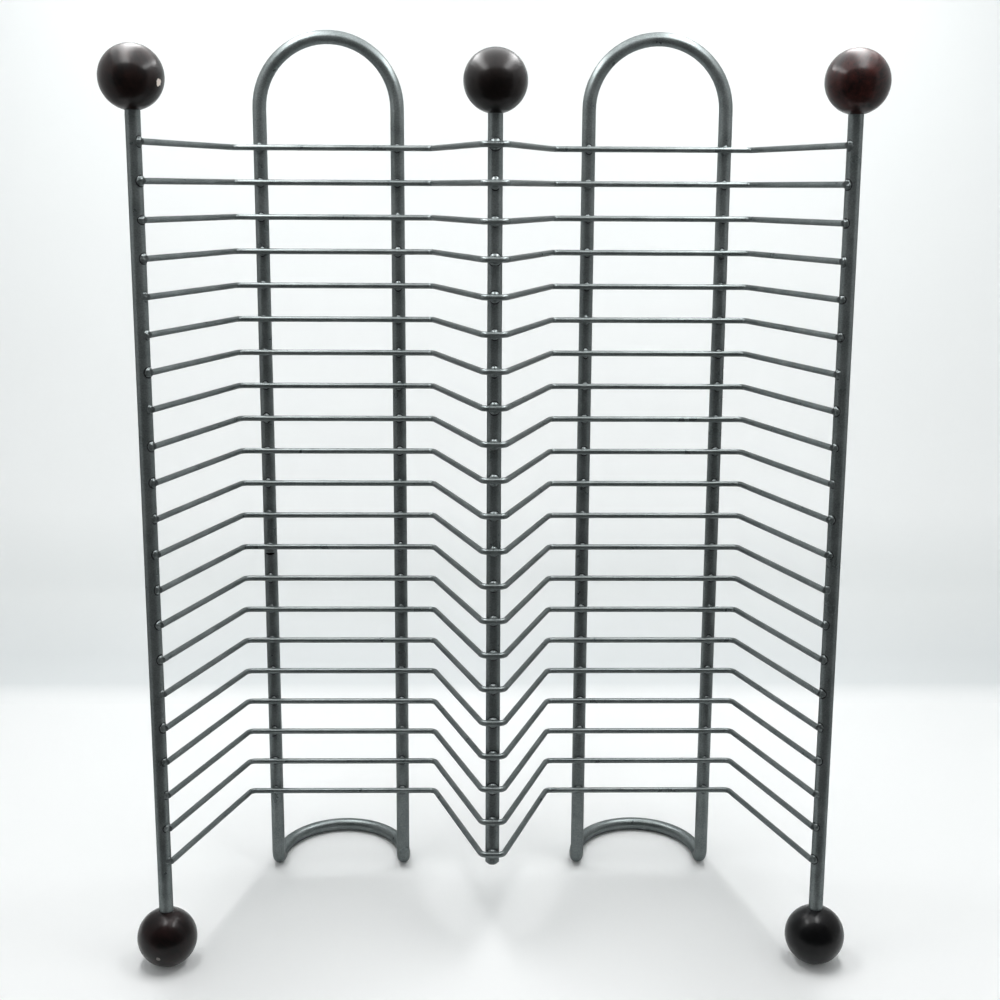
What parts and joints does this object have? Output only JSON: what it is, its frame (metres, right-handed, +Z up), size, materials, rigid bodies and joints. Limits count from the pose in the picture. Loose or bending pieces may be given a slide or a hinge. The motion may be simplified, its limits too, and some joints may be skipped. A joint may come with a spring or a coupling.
{
  "type": "cd storage rack",
  "caption": "Leaning wire rack for disc cases: shelf wires bent to a W are welded across front uprights and looped back rods, with dark wooden balls on the rod ends.",
  "frame": {"origin": "on the floor, midway between the foremost and the rearmost point, in the plane of the middle upright", "axes": "+Z up, -Y towards the open front where the cases go in, +X to the right seen from the front"},
  "size_m": [0.3054, 0.1316, 0.3877],
  "materials": {
    "metallic_grey": "satin metallic grey lacquer",
    "stained_wood_left": "reddish brown stain under gloss lacquer",
    "stained_wood_red": "red brown stain under gloss lacquer",
    "stained_wood_dark": "near black brown stain under gloss lacquer"
  },
  "bodies": {
    "root": {"centre_upright": "metallic_grey", "foot_ball_left": "stained_wood_dark", "foot_ball_right": "stained_wood_dark", "left_back_loop": "metallic_grey", "left_upright": "metallic_grey", "right_back_loop": "metallic_grey", "right_upright": "metallic_grey", "shelf_wire_01": "metallic_grey", "shelf_wire_02": "metallic_grey", "shelf_wire_03": "metallic_grey", "shelf_wire_04": "metallic_grey", "shelf_wire_05": "metallic_grey", "shelf_wire_06": "metallic_grey", "shelf_wire_07": "metallic_grey", "shelf_wire_08": "metallic_grey", "shelf_wire_09": "metallic_grey", "shelf_wire_10": "metallic_grey", "shelf_wire_11": "metallic_grey", "shelf_wire_12": "metallic_grey", "shelf_wire_13": "metallic_grey", "shelf_wire_14": "metallic_grey", "shelf_wire_15": "metallic_grey", "shelf_wire_16": "metallic_grey", "shelf_wire_17": "metallic_grey", "shelf_wire_18": "metallic_grey", "shelf_wire_19": "metallic_grey", "shelf_wire_20": "metallic_grey", "shelf_wire_21": "metallic_grey", "top_ball_centre": "stained_wood_dark", "top_ball_left": "stained_wood_left", "top_ball_right": "stained_wood_red"}
  },
  "joints": []
}
